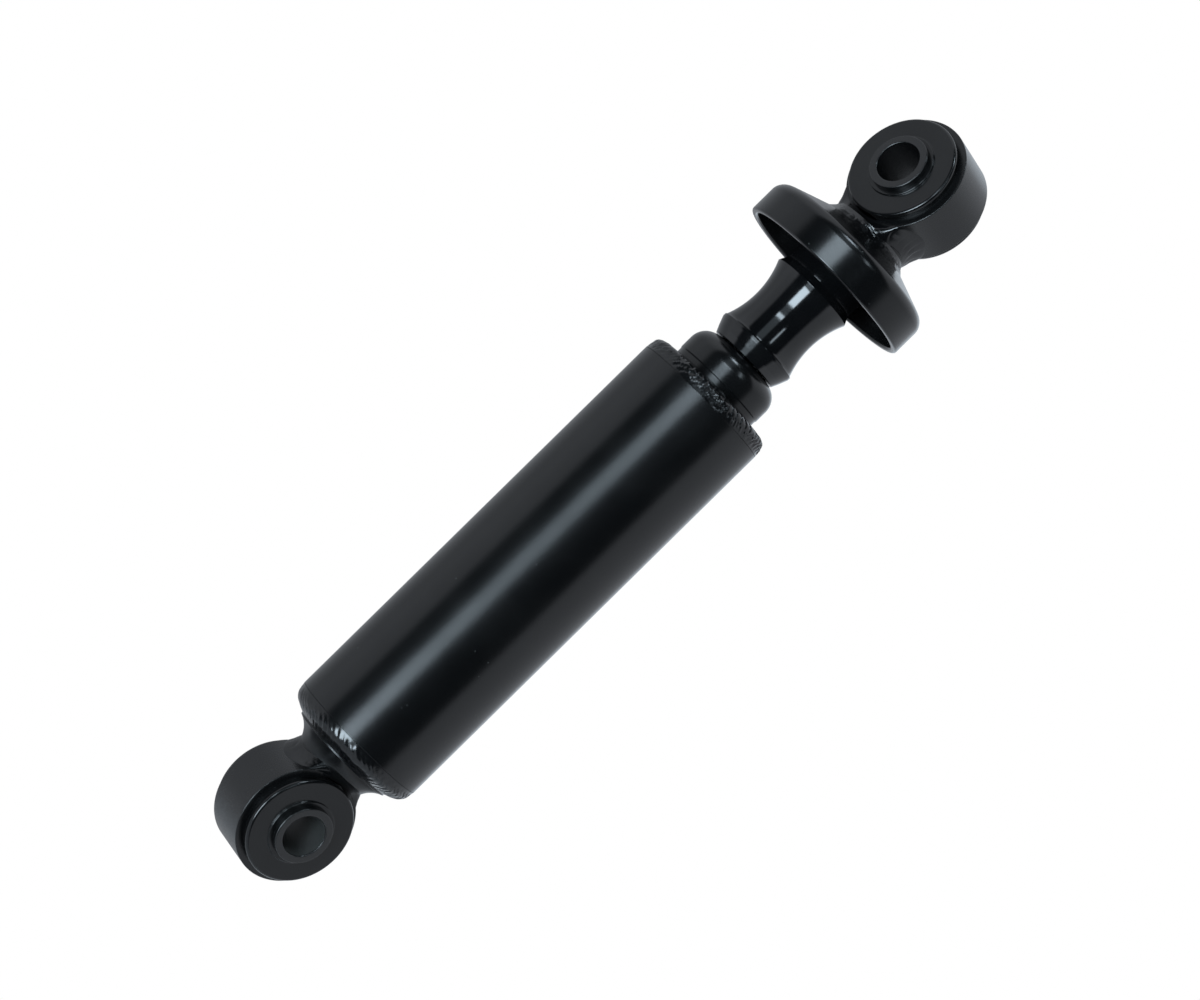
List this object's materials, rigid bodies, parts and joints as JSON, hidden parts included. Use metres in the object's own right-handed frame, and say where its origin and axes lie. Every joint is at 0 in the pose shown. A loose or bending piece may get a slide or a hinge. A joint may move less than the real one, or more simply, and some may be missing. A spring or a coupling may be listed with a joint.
{
  "type": "shock absorber",
  "caption": "Twin-tube hydraulic shock absorber: rubber-bushed eye at each end, hourglass bump stop and shallow cup on the rod, round reservoir tube.",
  "frame": {"origin": "centre of the lower eye's bore", "axes": "+Z along the rod from the lower eye to the upper eye; +X along the lower eye's bore; the upper eye's bore lies 11 degrees off +Y, as pictured, and rod_turn at -11 degrees brings it square"},
  "size_m": [0.092, 0.092, 0.458],
  "materials": {
    "black_paint": "satin to gloss black paint",
    "painted_weld": "rough rippled weld under black paint",
    "bush_rubber": "satin moulded black rubber",
    "bump_rubber": "smooth glossy black rubber",
    "polished_rod": "ground and hard chromed",
    "tube_steel": "drawn bright steel",
    "spring_steel": "blued spring steel",
    "sintered_iron": "sintered grey iron",
    "bearing_bronze": "bronze with a dull running face",
    "seal_rubber": "matt black rubber",
    "band_plastic": "filled low-friction plastic"
  },
  "bodies": {
    "damper_body": {"lower_eye_ring": "black_paint", "lower_stub": "black_paint", "base_cap": "black_paint", "reservoir_tube": "black_paint", "closing_ring": "black_paint", "collar": "black_paint", "lower_eye_weld": "painted_weld", "lower_weld_bead": "painted_weld", "upper_weld_bead": "painted_weld", "lower_bush_rubber": "bush_rubber", "pressure_tube": "tube_steel", "seal_retainer": "tube_steel", "base_valve_rivet": "tube_steel", "base_valve_discs": "spring_steel", "intake_disc": "spring_steel", "star_spring": "spring_steel", "garter_spring": "spring_steel", "base_valve_body": "sintered_iron", "rod_guide": "sintered_iron", "guide_bush": "bearing_bronze", "guide_o_ring": "seal_rubber", "rod_seal": "seal_rubber"},
    "lower_sleeve": {"lower_sleeve": "black_paint"},
    "piston_band": {"piston_band": "band_plastic"},
    "rod": {"piston_rod": "polished_rod", "piston": "sintered_iron", "rebound_discs": "spring_steel", "compression_discs": "spring_steel", "valve_washer": "tube_steel", "backing_washer": "tube_steel", "piston_nut": "tube_steel", "rebound_stop": "tube_steel", "rebound_bumper": "seal_rubber", "bump_stop": "bump_rubber", "cup": "black_paint", "cup_weld": "painted_weld", "rod_head": "black_paint", "upper_eye_weld": "painted_weld", "upper_eye_ring": "black_paint", "upper_bush_rubber": "bush_rubber"},
    "upper_sleeve": {"upper_sleeve": "black_paint"}
  },
  "joints": [
    {"name": "rod_slide", "type": "slide", "parent": "damper_body", "child": "piston_band", "axis": [0, 0, 1], "range_m": [0, 0.135]},
    {"name": "rod_turn", "type": "hinge", "parent": "piston_band", "child": "rod", "pos_m": [0, 0, 0.3], "axis": [0, 0, 1], "continuous": true},
    {"name": "lower_bush_twist", "type": "hinge", "parent": "damper_body", "child": "lower_sleeve", "pos_m": [0, 0, 0], "axis": [1, 0, 0], "range_deg": [-20, 20], "stiffness_Nm_per_rad": 20},
    {"name": "upper_bush_twist", "type": "hinge", "parent": "rod", "child": "upper_sleeve", "pos_m": [0, 0, 0.4], "axis": [-0.1908, 0.9816, 0], "range_deg": [-20, 20], "stiffness_Nm_per_rad": 20}
  ]
}
